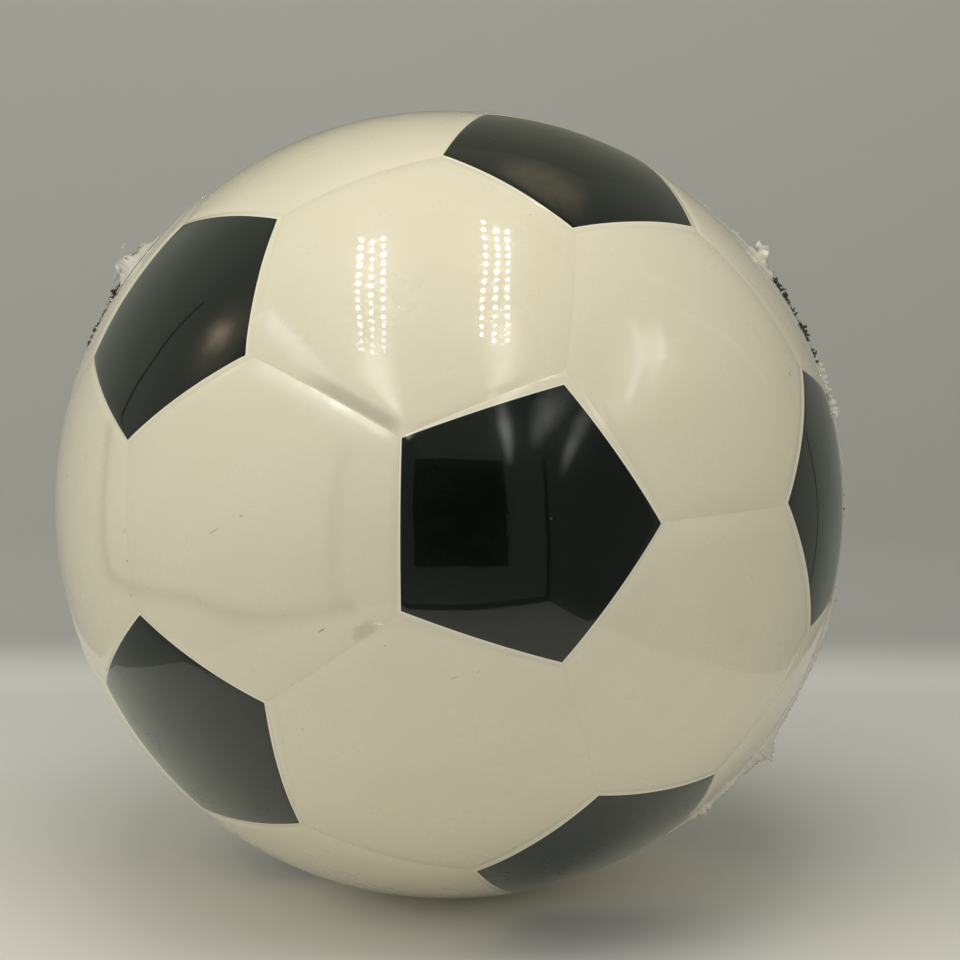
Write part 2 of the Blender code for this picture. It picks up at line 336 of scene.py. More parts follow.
# ---- panels --------------------------------------------------------------------------------
# rings of a hexagon, as distances in mm from its rim
HEX_RINGS = ([0.0, 0.12, 0.3, 0.5, 0.75, 1.05, 1.4, 1.8, 2.3, 2.8, 3.4, 4.1, 4.9, 5.8]
             + [5.8 + 1.1 * i for i in range(1, 31)])
HEX_REACH = 40.1               # from a hexagon's middle to its rim, in mm
HOLED_REACH = 34.0             # from the valve hole to that rim
HOLE_RINGS = {0.0, 0.006, 0.016, 0.03}
MARGIN_STEPS = 5               # rings between the white line and the rim
PRINT_RINGS = [0.12, 0.24, 0.36, 0.48, 0.58, 0.67, 0.75, 0.81, 0.86, 0.90, 0.93, 0.955, 0.975, 0.99, 1.0]
SEGMENTS = {5: 26, 6: 40}      # steps along a panel's side
FILM, PRINT, LINE = 0, 1, 2    # material slots of a pentagon
UNDER_RING = 0.55              # share of the rim in the ring on a panel's underside


def outline(corners, per_edge):
    n = len(corners)
    return [slerp(corners[i], corners[(i + 1) % n], j / per_edge) for i in range(n) for j in range(per_edge)]


def panel_rings(face, hole=None):
    """Rings of unit points from the middle to the rim, and the material index of the faces after each ring.
    With a hole, a direction, the first ring is the hole's edge."""
    per_edge = SEGMENTS[face["sides"]]
    rim = outline(face["corners"], per_edge)
    centre = sum(face["corners"], Vector()).normalized()
    if hole is not None:
        angle = VALVE_HOLE_R / BALL_R
        edge = []
        for b in rim:
            side = (b - hole * b.dot(hole)).normalized()
            edge.append(hole * math.cos(angle) + side * math.sin(angle))
        shares = sorted({1 - d / HOLED_REACH for d in HEX_RINGS if d < HOLED_REACH - 1} | HOLE_RINGS)
        return hole, [[slerp(a, b, t) for a, b in zip(edge, rim)] for t in shares], [FILM] * len(shares)
    if face["sides"] == 6:
        shares = sorted({1 - d / HEX_REACH for d in HEX_RINGS})
        return centre, [[slerp(centre, b, t) for b in rim] for t in shares], [FILM] * len(shares)
    turn = face["drift"]
    middle = turn @ face["way"]
    share = PRINT_CORNER / math.degrees(math.acos(face["way"].dot(face["ideal"][0])))
    marks = [turn @ slerp(face["way"], c, share) for c in face["ideal"]]
    printed = outline(marks, per_edge)
    rings = [[slerp(middle, b, t) for b in printed] for t in PRINT_RINGS]
    kinds = [PRINT] * (len(rings) - 1) + [LINE] + [FILM] * (MARGIN_STEPS + 1)
    white = []
    for a, b in zip(printed, rim):
        margin = math.acos(max(-1.0, min(1.0, a.dot(b)))) * BALL_R
        white.append(min(0.6, WHITE_LINE / max(margin, 1e-6)))
    rings.append([slerp(a, b, w) for a, b, w in zip(printed, rim, white)])
    for k in range(1, MARGIN_STEPS + 1):
        share = (k / MARGIN_STEPS) ** 0.8
        rings.append([slerp(a, b, w + (1 - w) * share) for a, b, w in zip(printed, rim, white)])
    return middle, rings, kinds


def add_mesh(name, verts, faces, materials):
    mesh = bpy.data.meshes.new(name)
    mesh.from_pydata(verts, [], faces)
    for mat in materials:
        mesh.materials.append(mat)
    obj = bpy.data.objects.new(name, mesh)
    bpy.context.scene.collection.objects.link(obj)
    return obj


def build_panel(name, face, materials, hole=None):
    """One closed panel: its top by rings, a wall down from the rim, and an underside."""
    centre, rings, kinds = panel_rings(face, hole)
    around = len(rings[0])
    unit = np.array([list(centre)] + [list(p) for ring in rings for p in ring])
    way = np.array(list(face["way"]))
    last = slice(len(unit) - around, len(unit))
    unit[last] = way + (unit[last] - way) * (1 - SEAM_GAP / BALL_R)
    unit /= np.linalg.norm(unit, axis=1)[:, None]
    height = BALL_R - seam_drop(unit, face) + relief(unit * BALL_R)
    if hole is not None:
        # the film rolls over the edge of the hole
        off = np.arccos(np.clip(unit @ np.array(list(hole)), -1, 1)) * BALL_R - VALVE_HOLE_R
        height -= 0.25 * MM * (1 - smooth(off, -0.1 * MM, 0.6 * MM))
    under = BALL_R - PANEL_T
    wall = unit[last] * under
    if hole is None:
        inner = wall * UNDER_RING + under * np.array(list(centre)) * (1 - UNDER_RING)
        inner = inner / np.linalg.norm(inner, axis=1)[:, None] * under
    else:
        inner = unit[1:1 + around] * under
    verts = np.vstack([unit * height[:, None], wall, inner, np.array([list(centre)]) * under])
    start = len(unit)
    top = start - around

    faces, slots = [], []
    for j in range(around):
        k = (j + 1) % around
        if hole is None:
            faces.append((0, 1 + j, 1 + k))
            slots.append(kinds[0])
    for r, kind in enumerate(kinds[:-1]):
        a, b = 1 + r * around, 1 + (r + 1) * around
        for j in range(around):
            k = (j + 1) % around
            faces.append((a + j, b + j, b + k, a + k))
            slots.append(kind)
    for j in range(around):
        k = (j + 1) % around
        faces.append((top + j, start + j, start + k, top + k))
        faces.append((start + j, start + around + j, start + around + k, start + k))
        if hole is None:
            faces.append((start + around + j, start + 2 * around, start + around + k))
        else:
            faces.append((start + around + j, 1 + j, 1 + k, start + around + k))
        slots += [FILM, FILM, FILM]

    # colour marks for the film, lighter and darker, with a painted highlight and painted shade along the V
    # seam
    highlight_and_lightening, shade_and_groove_dark = film_highlight_and_shade(unit)
    values = {"peel": peel_amount(unit), "highlight_and_lightening": highlight_and_lightening, "shade_and_groove_dark": shade_and_groove_dark}
    values = {key: np.concatenate([v, np.zeros(len(verts) - len(v))]) for key, v in values.items()}
    if hole is not None:
        # the first and last points, in the hole, aren't used
        verts, values = verts[1:-1], {key: v[1:-1] for key, v in values.items()}
        faces = [tuple(i - 1 for i in f) for f in faces]
        top, start = top - 1, start - 1
    obj = add_mesh(name, verts.tolist(), faces, materials)
    mesh = obj.data
    mesh.polygons.foreach_set("material_index", slots)
    mesh.shade_smooth()
    ends = np.array([e.vertices[:] for e in mesh.edges])
    sharp = (ends >= top).all(1) & (ends < start + around).all(1)
    if hole is not None:
        sharp |= (ends < around).all(1)
    mesh.attributes.new("sharp_edge", 'BOOLEAN', 'EDGE').data.foreach_set("value", sharp)
    for key, v in values.items():
        mesh.attributes.new(key, 'FLOAT', 'POINT').data.foreach_set("value", v.astype(np.float32))
    mesh.validate()
    return obj


# ---- node material helpers -----------------------------------------------------------------
class Nodes:
    """A material built from nodes."""

    def __init__(self, name):
        self.mat = bpy.data.materials.new(name)
        self.mat.use_nodes = True
        self.tree = self.mat.node_tree
        self.tree.nodes.clear()
        self.out = self.new("OutputMaterial")
        self.shader = self.new("BsdfPrincipled")
        self.link(self.shader.outputs[0], self.out.inputs[0])
        self.place = self.new("TexCoord").outputs["Object"]

    def new(self, kind):
        return self.tree.nodes.new("ShaderNode" + kind)

    def link(self, a, b):
        self.tree.links.new(a, b)

    def put(self, value, socket):
        if isinstance(value, bpy.types.NodeSocket):
            self.link(value, socket)
        elif value is not None:
            socket.default_value = value

    def noise(self, scale, detail=3.0, rough=0.5, vector=None):
        n = self.new("TexNoise")
        n.inputs["Scale"].default_value = scale
        n.inputs["Detail"].default_value = detail
        n.inputs["Roughness"].default_value = rough
        self.link(vector or self.place, n.inputs["Vector"])
        return n.outputs["Fac"]

    def voronoi(self, scale, output="Distance"):
        n = self.new("TexVoronoi")
        n.inputs["Scale"].default_value = scale
        self.link(self.place, n.inputs["Vector"])
        return n.outputs[output]

    def math(self, op, a, b=None, clamp=False):
        n = self.new("Math")
        n.operation = op
        n.use_clamp = clamp
        self.put(a, n.inputs[0])
        self.put(b, n.inputs[1])
        return n.outputs[0]

    def ramp(self, fac, low, high, a=0.0, b=1.0):
        n = self.new("MapRange")
        n.interpolation_type = 'SMOOTHSTEP'
        self.link(fac, n.inputs["Value"])
        n.inputs["From Min"].default_value = low
        n.inputs["From Max"].default_value = high
        n.inputs["To Min"].default_value = a
        n.inputs["To Max"].default_value = b
        return n.outputs["Result"]

    def mix(self, fac, a, b):
        n = self.new("Mix")
        n.data_type = 'RGBA'
        self.put(fac, n.inputs[0])
        self.put(a, n.inputs[6])
        self.put(b, n.inputs[7])
        return n.outputs[2]

    def attribute(self, name):
        n = self.new("Attribute")
        n.attribute_name = name
        return n.outputs["Fac"]

    def bump(self, height, distance, strength=1.0, normal=None):
        n = self.new("Bump")
        n.inputs["Strength"].default_value = strength
        n.inputs["Distance"].default_value = distance
        self.link(height, n.inputs["Height"])
        if normal is not None:
            self.link(normal, n.inputs["Normal"])
        return n.outputs[0]

    def dot(self, axis):
        """Distance along an axis from the ball's centre."""
        n = self.new("VectorMath")
        n.operation = 'DOT_PRODUCT'
        self.link(self.place, n.inputs[0])
        n.inputs[1].default_value = axis
        return n.outputs["Value"]

    def set(self, **sockets):
        names = {"color": "Base Color", "rough": "Roughness", "spec": "Specular IOR Level",
                 "normal": "Normal",
                 "coat": "Coat Weight", "coat_rough": "Coat Roughness", "coat_tint": "Coat Tint",
                 "coat_normal": "Coat Normal", "sheen": "Sheen Weight"}
        for key, value in sockets.items():
            self.put(value, self.shader.inputs[names[key]])
        return self.mat


def rgb(r, g, b):
    return (r, g, b, 1.0)


# ---- film materials ------------------------------------------------------------------------
# small marks on the cream film: azimuth, elevation, length and width in mm, lean and darkness
# (a negative one is chalky)
MARKS = [
    (-32.2, 5.3, 4.2, 0.5, 30, 0.4), (-27.9, 7.7, 1.5, 0.5, 20, 0.5), (-16.3, -6.5, 3.2, 0.55, 35, 0.55),
    (-10.6, -6.2, 8.6, 4.4, 34, 0.22), (-8.7, -5.3, 3.4, 0.8, -10, -0.9), (-7.9, -8.2, 0.7, 0.4, 0, 0.7),
    (-20.8, -21.4, 0.9, 0.5, 60, 0.5), (-48.4, -5.5, 1.3, 0.5, 80, 0.5), (-49.3, 3.2, 2.2, 0.45, 85, 0.4),
    (18.5, 52.3, 0.8, 0.5, 0, 0.45), (63.4, 23.1, 1.6, 0.8, 75, 0.85), (1.2, -12.6, 2.8, 0.6, 25, 0.22),
    (4.3, -11.8, 1.5, 0.5, 30, 0.25), (44.4, -11.2, 9.0, 6.0, 60, 0.05), (62.1, -22.4, 3.4, 0.8, 50, 0.3),
    (64.1, 23.7, 1.6, 1.2, 80, 0.22), (70.9, 49.3, 3.0, 0.4, -40, 0.15),
]


def mark_mask(n, az, el, length, width, lean):
    """1 inside a ragged oval mark on the ball."""
    way = direction(az, el)
    east, north = east_north(way)
    t = math.radians(lean)
    major = east * math.cos(t) + north * math.sin(t)
    minor = north * math.cos(t) - east * math.sin(t)
    total = None
    for axis, size in ((major, length / 2), (minor, width / 2)):
        off = n.math('MULTIPLY', n.math('SUBTRACT', n.dot(axis), axis.dot(way) * BALL_R), 1 / (size * MM))
        square = n.math('MULTIPLY', off, off)
        total = square if total is None else n.math('ADD', total, square)
    near = n.ramp(n.dot(way), 0.8 * BALL_R, 0.9 * BALL_R)
    ragged = n.math('ADD', total, n.math('MULTIPLY', n.noise(1100, 3.0, 0.6), 1.6))
    return n.math('MULTIPLY', n.ramp(ragged, 0.9, 1.9, 1.0, 0.0), near)


def peel_masks(n):
    """1 where the film has gone, and 1 there and at its frayed edge: the peel amount broken up by noise."""
    coarse = n.noise(95, 5.0, 0.62)
    fine = n.noise(420, 4.0, 0.6)
    broken = n.math('ADD', coarse, n.math('MULTIPLY', fine, 0.35))
    level = n.math('SUBTRACT', n.math('MULTIPLY', n.attribute("peel"), 0.62), n.math('MULTIPLY', broken, 0.9))
    return n.ramp(level, 0.035, 0.06), n.ramp(level, -0.03, 0.05)


def backing(n):
    """Colour and height of the crumbled dark foam and pale fuzz under the film."""
    patches = n.noise(130, 5.0, 0.65)
    grain = n.noise(900, 5.0, 0.7)
    dark = n.mix(n.ramp(grain, 0.3, 0.7), rgb(0.05, 0.046, 0.04), rgb(0.15, 0.135, 0.115))
    pale = n.mix(n.ramp(grain, 0.3, 0.7), rgb(0.42, 0.39, 0.32), rgb(0.62, 0.58, 0.48))
    colour = n.mix(n.ramp(patches, 0.54, 0.62), pale, dark)
    return colour, n.math('ADD', n.math('MULTIPLY', n.voronoi(520), 0.8), grain)


def film(name, tones, spots, rough, coat_rough, marks=(), tint=rgb(1, 1, 1)):
    """Glossy printed film. tones are its base, aged, darker and lighter colours; the lighter one is also the
    painted highlight, and the darker one, dimmed, the painted shade. spots is the colour of specks and
    scuffs."""
    n = Nodes(name)
    age = n.noise(16, 3.0, 0.55)
    cloud = n.noise(60, 4.0, 0.6)
    grain = n.noise(1500, 2.0, 0.5)
    colour = n.mix(n.ramp(age, 0.35, 0.68), tones[0], tones[1])
    colour = n.mix(n.math('MULTIPLY', n.ramp(cloud, 0.35, 0.80), 0.22), colour, tones[2])
    colour = n.mix(n.math('MULTIPLY', n.ramp(grain, 0.35, 0.65), 0.10), colour, tones[2])
    # tiny specks
    chance = n.new("SeparateColor")
    n.link(n.voronoi(230, output="Color"), chance.inputs[0])
    rare = n.ramp(chance.outputs[0], 0.986, 0.989)
    speck = n.math('MULTIPLY', n.ramp(n.voronoi(230), 0.05, 0.11, 1.0, 0.0), rare)
    colour = n.mix(n.math('MULTIPLY', speck, 0.65), colour, spots)
    # fine rubbed scratches in clusters
    stretch = n.new("Mapping")
    stretch.inputs["Scale"].default_value = (3.0, 30.0, 30.0)
    stretch.inputs["Rotation"].default_value = (0.3, 0.7, 0.5)
    n.link(n.place, stretch.inputs["Vector"])
    lines = n.noise(22, 6.0, 0.75, vector=stretch.outputs[0])
    where = n.ramp(n.noise(38, 2.0), 0.64, 0.78)
    rub = n.math('MULTIPLY', n.ramp(lines, 0.60, 0.68), where)
    colour = n.mix(n.math('MULTIPLY', rub, 0.07), colour, spots)
    # painted highlight on the lower side of the V seam, and lighter film on the facet and along ridges
    colour = n.mix(n.attribute("highlight_and_lightening"), colour, tones[3])
    # painted shade on the upper side of the V seam, and darker lines along grooves
    colour = n.mix(n.attribute("shade_and_groove_dark"), colour, tuple(0.62 * c for c in tones[2][:3]) + (1.0,))
    for az, el, length, width, lean, dark in marks:
        tone = rgb(0.12, 0.105, 0.08) if dark > 0 else tones[3]
        colour = n.mix(n.math('MULTIPLY', mark_mask(n, az, el, length, width, lean), abs(dark)), colour, tone)
    gone, frayed = peel_masks(n)
    under, under_height = backing(n)
    torn = n.math('SUBTRACT', frayed, gone, clamp=True)
    colour = n.mix(n.math('MULTIPLY', torn, 0.8), colour, rgb(0.78, 0.76, 0.70))
    colour = n.mix(gone, colour, under)
    rough_noise = n.ramp(cloud, 0.3, 0.75, rough - 0.05, rough + 0.09)
    rough_all = n.math('ADD', rough_noise, n.math('MULTIPLY', rub, 0.25))
    rough_all = n.math('ADD', rough_all, n.math('MULTIPLY', gone, 0.6), clamp=True)
    normal = n.bump(n.noise(75, 2.0, 0.4), 0.00009, 0.14)
    normal = n.bump(n.noise(300, 2.0, 0.4), 0.00002, 0.08, normal)
    normal = n.bump(n.math('SUBTRACT', 1.0, gone), 0.0005, 0.9, normal)
    normal = n.bump(n.math('MULTIPLY', under_height, gone), 0.0007, 1.0, normal)
    coat = n.ramp(n.math('ADD', frayed, n.math('MULTIPLY', rub, 0.3)), 0.0, 1.0, 1.0, 0.0)
    # the coat is duller where the film is made lighter, the painted highlight included
    coat_rough = n.ramp(n.attribute("highlight_and_lightening"), 0.0, 0.5, coat_rough, coat_rough + 0.17)
    return n.set(color=colour, rough=rough_all, spec=0.35, normal=normal, coat=coat, coat_rough=coat_rough,
                 coat_tint=tint, coat_normal=normal)


CREAM = film("cream_film", (rgb(0.735, 0.680, 0.525), rgb(0.715, 0.655, 0.490), rgb(0.675, 0.625, 0.475),
                             rgb(0.86, 0.83, 0.73)),
             rgb(0.20, 0.18, 0.14), 0.30, 0.045, MARKS)
BLACK = film("black_film", (rgb(0.0016, 0.0022, 0.0017), rgb(0.0026, 0.0032, 0.0026),
                            rgb(0.004, 0.0046, 0.004),
                             rgb(0.02, 0.021, 0.018)),
             rgb(0.10, 0.10, 0.09), 0.22, 0.035, tint=rgb(0.90, 1.0, 0.93))
WHITE = film("white_line_film", (rgb(0.82, 0.785, 0.66), rgb(0.80, 0.76, 0.63), rgb(0.76, 0.72, 0.60),
                                   rgb(0.88, 0.86, 0.78)),
             rgb(0.20, 0.18, 0.14), 0.30, 0.05)


def rubber(name, tone, dusty, rough, scale=700):
    n = Nodes(name)
    grain = n.noise(scale, 4.0, 0.6)
    cloud = n.noise(70, 3.0)
    colour = n.mix(n.ramp(cloud, 0.3, 0.75), tone, dusty)
    colour = n.mix(n.math('MULTIPLY', n.ramp(grain, 0.4, 0.7), 0.4), colour, dusty)
    normal = n.bump(grain, 0.00006, 0.5)
    return n.set(color=colour, rough=n.ramp(cloud, 0.25, 0.8, rough - 0.08, rough + 0.12), normal=normal)


def thread_material():
    """Nylon thread wound in many crossing great circles."""
    n = Nodes("wound_nylon")
    total = None
    for turn in ((0.2, 0.9, 0.1), (1.1, 0.3, 0.8), (2.0, 1.4, 0.5), (0.7, 2.2, 1.9)):
        m = n.new("Mapping")
        m.inputs["Rotation"].default_value = turn
        n.link(n.place, m.inputs["Vector"])
        w = n.new("TexWave")
        w.inputs["Scale"].default_value = 260
        w.inputs["Distortion"].default_value = 3.0
        w.inputs["Detail"].default_value = 1.0
        n.link(m.outputs[0], w.inputs["Vector"])
        f = w.outputs["Fac"]
        total = f if total is None else n.math('MAXIMUM', total, f)
    colour = n.mix(n.ramp(total, 0.5, 0.98), rgb(0.30, 0.29, 0.25), rgb(0.72, 0.71, 0.66))
    return n.set(color=colour, rough=0.6, normal=n.bump(total, 0.0003, 0.8), sheen=0.2)


# ---- cover ---------------------------------------------------------------------------------
def build_cover():
    named = nodes_by_direction()
    low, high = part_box(VALVE_NODE)
    valve = ((Vector(low) + Vector(high)) / 2).normalized()
    for face in layout_faces():
        node = max(named, key=lambda k: named[k].dot(face["way"]))
        pent = face["sides"] == 5
        hole = VALVE_AXIS if face["way"].dot(valve) > 0.99 else None
        obj = build_panel(node + "_cover", face, [CREAM, BLACK, WHITE] if pent else [CREAM], hole)
        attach(obj, "ball")
        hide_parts(node)


build_cover()


# ---- torn film -----------------------------------------------------------------------------
def loose_film(name, tone, rough):
    """Thin cracked film, whiter where it is creased."""
    n = Nodes(name)
    crease = n.noise(900, 4.0, 0.7)
    cloud = n.noise(240, 3.0, 0.5)
    pale = tuple(min(1.0, c * 1.25 + 0.05) for c in tone) + (1.0,)
    dull = tuple(c * 0.88 for c in tone) + (1.0,)
    colour = n.mix(n.ramp(cloud, 0.3, 0.7), rgb(*tone), dull)
    colour = n.mix(n.math('MULTIPLY', n.ramp(crease, 0.55, 0.75), 0.6), colour, pale)
    return n.set(color=colour, rough=n.ramp(cloud, 0.3, 0.7, rough, rough + 0.2),
                 normal=n.bump(crease, 0.0001, 0.7),
                 coat=0.4, coat_rough=0.2)


def solid_sheet(name, verts, faces, mat, thickness):
    """Gives a thin sheet a back and rims, so it is closed."""
    bm = bmesh.new()
    top = [bm.verts.new(v) for v in verts]
    for f in faces:
        if len(set(f)) == len(f):
            bm.faces.new([top[i] for i in f])
    bmesh.ops.recalc_face_normals(bm, faces=bm.faces[:])
    bm.normal_update()
    sheet = bm.faces[:]
    rims = [(e.link_loops[0].vert, e.link_loops[0].link_loop_next.vert) for e in bm.edges if e.is_boundary]
    back = {v: bm.verts.new(v.co - v.normal * thickness) for v in top}
    for f in sheet:
        bm.faces.new([back[v] for v in reversed(f.verts[:])])
    for u, v in rims:
        bm.faces.new([v, u, back[u], back[v]])
    obj = add_mesh(name, [], [], [mat])
    bm.to_mesh(obj.data)
    bm.free()
    obj.data.shade_smooth()
    return obj


def between(anchors, x):
    """Height at x on the line through these anchors."""
    for (x0, y0), (x1, y1) in zip(anchors, anchors[1:]):
        if min(x0, x1) <= x <= max(x0, x1):
            return y0 + (y1 - y0) * (x - x0) / (x1 - x0)
    return 0.0


FRINGE_STEP = 0.16             # degrees along the limb
FRINGE_ROWS = 6


def fringe(verts, faces, anchors, seed, base_away=80.5, lip_away=83.2, ragged=0.35, teeth=3.0):
    """Torn edge of the film along the ball's limb: anchors are (turn, height in mm) of its ragged rim."""
    rnd = random.Random(seed)
    start, end = anchors[0][0], anchors[-1][0]
    count = int(abs(end - start) / FRINGE_STEP)
    rows = FRINGE_ROWS
    base = len(verts)
    wander = [rnd.uniform(0, 6.28) for _ in range(6)]
    for i in range(count + 1):
        turn = start + (end - start) * i / count
        height = between(anchors, turn)
        rough = sum(math.sin(turn * f * teeth + p)
                    for f, p in zip((0.7, 1.3, 2.3, 3.7, 5.9, 9.1), wander)) / 6
        height *= 1 + ragged * rough + rnd.uniform(-0.12, 0.12)
        shift = 0.5 * math.sin(turn * 0.9 + wander[0])
        for j in range(rows):
            t = j / (rows - 1)
            away = base_away + (lip_away - base_away) * t + shift * t
            rise = 0.12 + max(height, 0.0) * t ** 1.8 + 0.10 * math.sin(turn * 4 + 5 * t) * t
            verts.append(from_view(turn, away) * (BALL_R + rise * MM))
    for i in range(count):
        for j in range(rows - 1):
            a = base + i * rows + j
            faces.append((a, a + 1, a + 1 + rows, a + rows))


def crumb(verts, faces, at, out, rnd, size):
    """One curled scrap of film standing on the surface."""
    tangent = out.cross(Vector((rnd.uniform(-1, 1), rnd.uniform(-1, 1), rnd.uniform(-1, 1)))).normalized()
    other = out.cross(tangent).normalized()
    lean = rnd.uniform(-0.5, 0.5)
    up = (out + other * lean).normalized()
    steps = rnd.randint(4, 7)
    curl = rnd.uniform(0.5, 1.5) * rnd.choice((-1, 1))
    width = size * rnd.uniform(0.25, 0.5)
    base = len(verts)
    point, heading = Vector(at), 0.0
    for i in range(steps + 1):
        t = i / steps
        w = width * (1 - 0.6 * t * t) * rnd.uniform(0.65, 1.2)
        way = (up * math.cos(heading) + tangent * math.sin(heading)).normalized()
        skew = other * w * rnd.uniform(-0.25, 0.25)
        verts.append(point - other * w + skew)
        verts.append(point + other * w + skew)
        point = point + way * size / steps * 1.3
        heading += curl * 2.2 / steps * rnd.uniform(0.5, 1.6)
    for i in range(steps):
        a = base + 2 * i
        faces.append((a, a + 1, a + 3, a + 2))


def scatter(verts, faces, turns, aways, count, sizes, seed):
    rnd = random.Random(seed)
    for _ in range(count):
        turn = rnd.uniform(*turns)
        away = rnd.uniform(*aways)
        out = from_view(turn, away)
        size = rnd.uniform(*sizes) * rnd.choice((0.6, 0.8, 1.0, 1.0)) * MM
        crumb(verts, faces, out * (BALL_R - 0.1 * MM), out, rnd, size)


def shard(verts, faces, rim, crumple, seed, away=83.0, rings=5):
    """A standing piece of film with this rim of (turn, height in mm) points, filled toward its middle."""
    rnd = random.Random(seed)
    points = []
    for (t0, h0), (t1, h1) in zip(rim, rim[1:] + rim[:1]):
        for u in (0.0, 0.25, 0.5, 0.75):
            points.append((t0 + (t1 - t0) * u + rnd.uniform(-.03, .03),
                           h0 + (h1 - h0) * u + rnd.uniform(-.06, .06)))
    mid = (sum(p[0] for p in points) / len(points), sum(p[1] for p in points) / len(points))
    base = len(verts)
    phase = [rnd.uniform(0, 6.28) for _ in range(4)]

    def place(turn, height):
        wobble = crumple * (math.sin(turn * 1.9 + phase[0]) + math.sin(turn * 3.7 + height * 1.5 + phase[1])
                            + 0.7 * math.sin(height * 2.6 + phase[2])) / 3
        return from_view(turn, away + wobble) * (BALL_R + max(height, 0.05) * MM)
    verts.append(place(*mid))
    for r in range(1, rings + 1):
        for p in points:
            u = r / rings
            verts.append(place(mid[0] + (p[0] - mid[0]) * u, mid[1] + (p[1] - mid[1]) * u))
    n = len(points)
    for j in range(n):
        faces.append((base, base + 1 + j, base + 1 + (j + 1) % n))
    for r in range(rings - 1):
        for j in range(n):
            a, b = base + 1 + r * n + j, base + 1 + r * n + (j + 1) % n
            faces.append((a, b, b + n, a + n))


# loose scraps: limits of turn and of away, count, limits of size in mm, and seed
CREAM_SCRAPS = [
    ((21.0, 13.0), (81, 90), 46, (0.7, 1.7), 41),
    ((12.0, -12.0), (82, 92), 40, (0.3, 0.8), 42),
    ((-12.0, -56.0), (82, 93), 110, (0.5, 1.5), 43),
    ((44.0, 34.0), (82, 93), 36, (0.5, 1.4), 44),
    ((137.0, 160.0), (82, 92), 46, (0.4, 1.2), 45),
]
BLACK_SCRAPS = [
    ((35.4, 31.0), (81, 90), 34, (1.0, 2.2), 51),
    ((31.0, 21.0), (81, 90), 72, (0.7, 1.7), 52),
    ((21.0, -14.0), (83, 92), 40, (0.3, 0.8), 53),
    ((145.8, 156.5), (81, 89), 90, (0.5, 1.3), 54),
    ((145.5, 148.5), (81, 86), 18, (0.9, 1.7), 55),
    ((145.9, 146.5), (82, 84), 4, (1.8, 2.2), 56),
    ((147.3, 147.8), (82, 84), 4, (1.8, 2.2), 57),
]


def scraps(name, rows, mat):
    verts, faces = [], []
    for row in rows:
        scatter(verts, faces, *row)
    return solid_sheet(name, verts, faces, mat, 0.05 * MM)


def build_torn_film():
    pale = loose_film("torn_cream", (0.72, 0.69, 0.59), 0.35)
    cloudy = loose_film("torn_cloudy", (0.62, 0.595, 0.53), 0.40)
    dark = loose_film("torn_black", (0.050, 0.046, 0.038), 0.40)

    verts, faces = [], []
    fringe(verts, faces, [(-12, 0.1), (-14, 0.9), (-18.5, 1.3), (-23, 0.9), (-28, 0.75), (-33, 1.1),
                          (-36, 1.7),
                          (-37, 3.2), (-38.6, 4.6), (-39.3, 2.9), (-41.5, 1.7), (-44.1, 1.1), (-45.1, 1.5),
                          (-46.8, 1.5), (-47.8, 0.9), (-48.6, 1.3), (-50.7, 2.1), (-51.4, 1.0), (-51.9, 1.4),
                          (-53.2, 0.6), (-54.7, 0.5), (-57, 0.1)], 21)
    fringe(verts, faces, [(44, 0.1), (41, 0.5), (40, 0.9), (37.2, 1.6), (36.4, 0.8), (35.6, 1.2),
                          (34.5, 0.3)], 22)
    fringe(verts, faces, [(22, 0.2), (20.8, 1.1), (16.5, 1.2), (13.2, 1.7), (12, 0.4), (8, 0.5), (4, 0.15)],
           23,
           base_away=82.0, lip_away=83.4, ragged=0.8, teeth=5.0)
    fringe(verts, faces, [(137.2, 0.05), (138.5, 0.5), (140, 1.0), (143, 1.6), (145.8, 0.9), (147, 0.2)], 24)
    torn = solid_sheet("torn_film_rim", verts, faces, pale, 0.07 * MM)

    verts, faces = [], []
    shard(verts, faces, [(39.7, 0.3), (40.1, 1.75), (40.4, 3.6), (39.5, 3.4), (38.9, 4.5), (38.4, 4.1),
                         (38.0, 3.3),
                         (37.5, 1.9), (37.3, 0.9), (38.5, 0.2)], 0.35, 31)
    flake = solid_sheet("torn_film_flake", verts, faces, pale, 0.09 * MM)

    verts, faces = [], []
    left_rim = [(145.7, 0.1), (145.1, 3.2), (144.5, 4.5), (143.5, 4.7), (142.5, 4.2), (142.3, 2.9),
                (141.7, 2.6),
                (141.1, 2.5), (139.6, 2.4), (139.2, 1.5), (138.6, 0.1)]
    shard(verts, faces, left_rim, 0.8, 32, away=83.0, rings=9)
    shard(verts, faces, [(145.3, 0.1), (145.0, 2.2), (143.9, 3.6), (143.0, 2.6), (142.0, 3.3), (141.2, 1.6),
                         (139.9, 1.7),
                         (139.0, 0.1)], 0.8, 33, away=85.5, rings=7)
    shard(verts, faces, [(141.95, 5.75), (141.75, 6.35), (141.3, 6.5), (141.2, 6.0), (141.6, 5.7)], 0.5, 34,
          rings=3)
    shard(verts, faces, [(146.2, 2.2), (146.0, 2.8), (145.1, 3.3), (144.6, 2.6), (145.2, 2.0)], 0.3, 35,
          rings=3)
    fringe(verts, faces, [(147.5, 0.1), (146.0, 0.6), (145.2, 2.2), (144.3, 3.4), (143.2, 3.9), (142.3, 3.0),
                          (141.2, 1.9),
                          (139.9, 1.9), (139.0, 1.0), (137.2, 0.1)], 36, base_away=80.0, lip_away=82.8,
           ragged=0.2)
    crumpled = solid_sheet("torn_film_crumpled", verts, faces, cloudy, 0.06 * MM)

    bits = scraps("torn_film_bits", CREAM_SCRAPS, pale)
    crumbs = scraps("torn_film_black", BLACK_SCRAPS, dark)

    for obj in (torn, flake, crumpled, bits):
        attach(obj, "ball")
    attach(crumbs, "ball")


build_torn_film()

